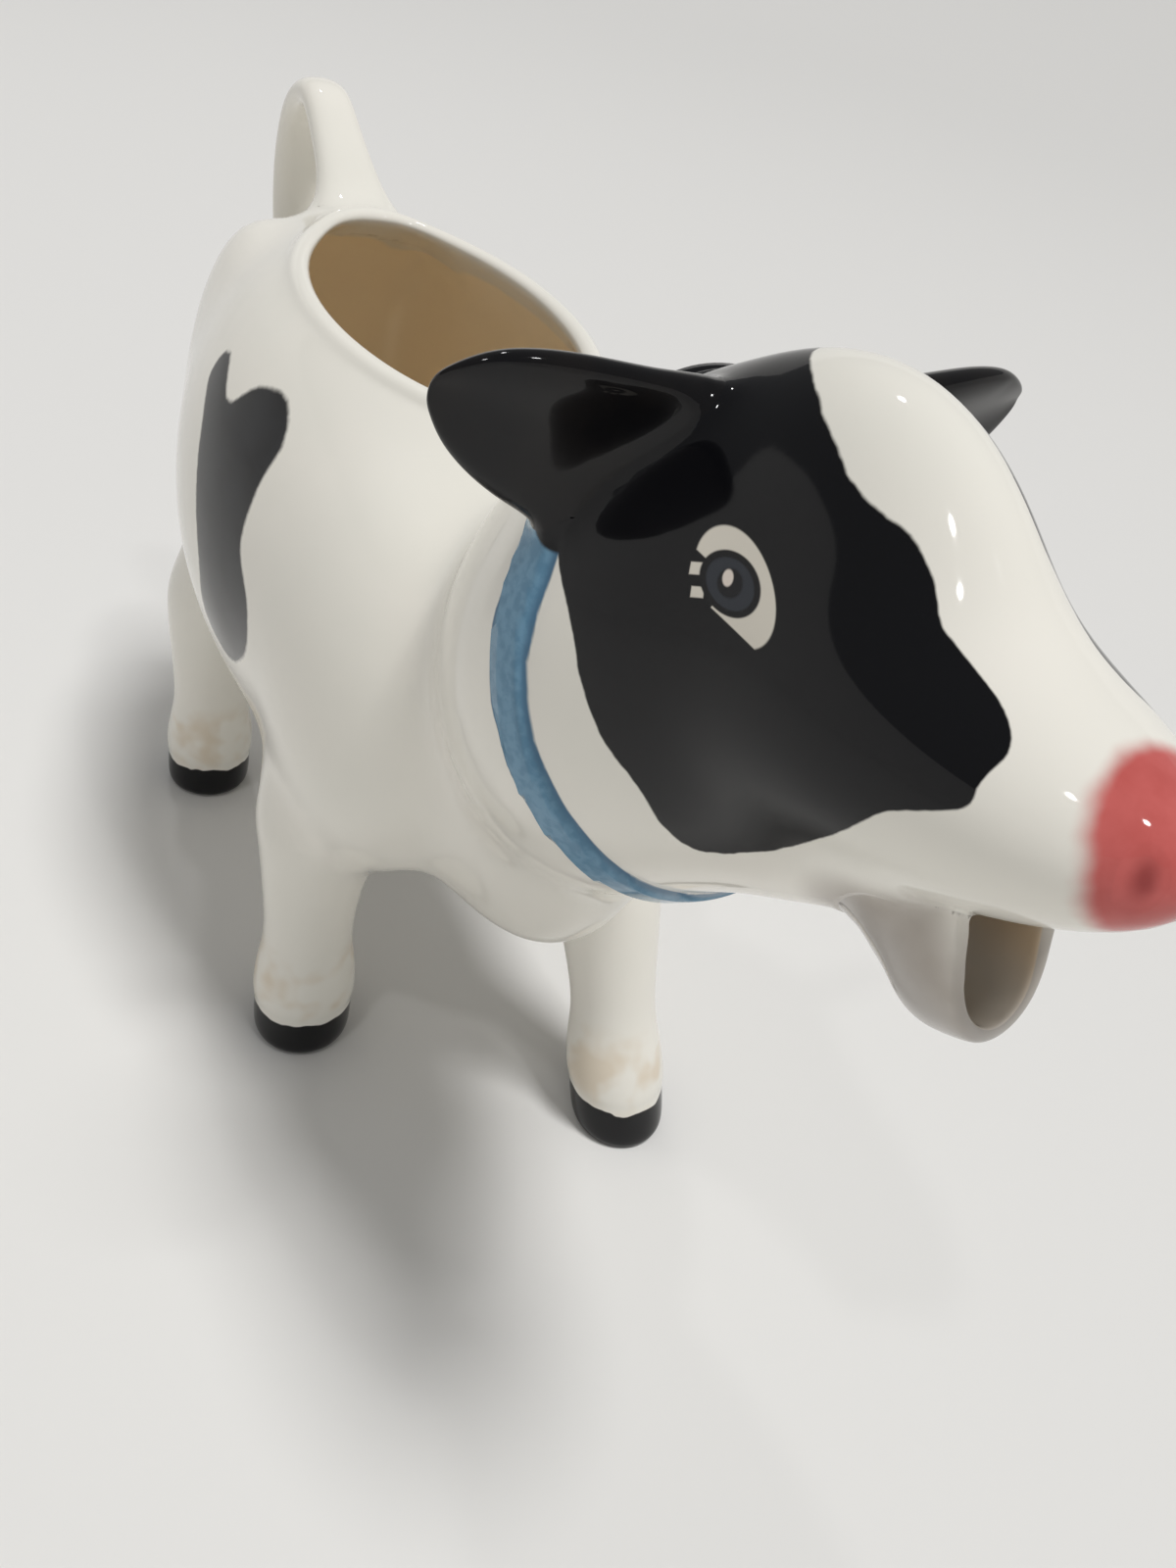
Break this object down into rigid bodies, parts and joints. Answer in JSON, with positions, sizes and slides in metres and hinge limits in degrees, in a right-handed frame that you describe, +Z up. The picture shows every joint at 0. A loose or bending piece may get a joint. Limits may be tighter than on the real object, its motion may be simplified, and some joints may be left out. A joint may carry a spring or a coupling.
{
  "type": "cream jug",
  "caption": "Glazed ceramic creamer jug shaped as a standing cow, filled through the open back, held by its looped tail and poured from its open mouth.",
  "frame": {"origin": "on the table, half way along the cow's length and on its middle plane", "axes": "+X to the nose, +Y to the cow's left, +Z up"},
  "size_m": [0.1763, 0.059, 0.1201],
  "materials": {
    "glaze": "cream-white high-gloss glaze with black patches painted under it",
    "glaze_black": "black high-gloss glaze"
  },
  "bodies": {
    "root": {"body_shell": "glaze", "head_shell": "glaze", "lower_jaw": "glaze", "ear_left": "glaze_black", "ear_right": "glaze_black", "tail_handle": "glaze", "leg_front_left": "glaze", "leg_front_right": "glaze", "leg_rear_left": "glaze", "leg_rear_right": "glaze"}
  },
  "joints": []
}
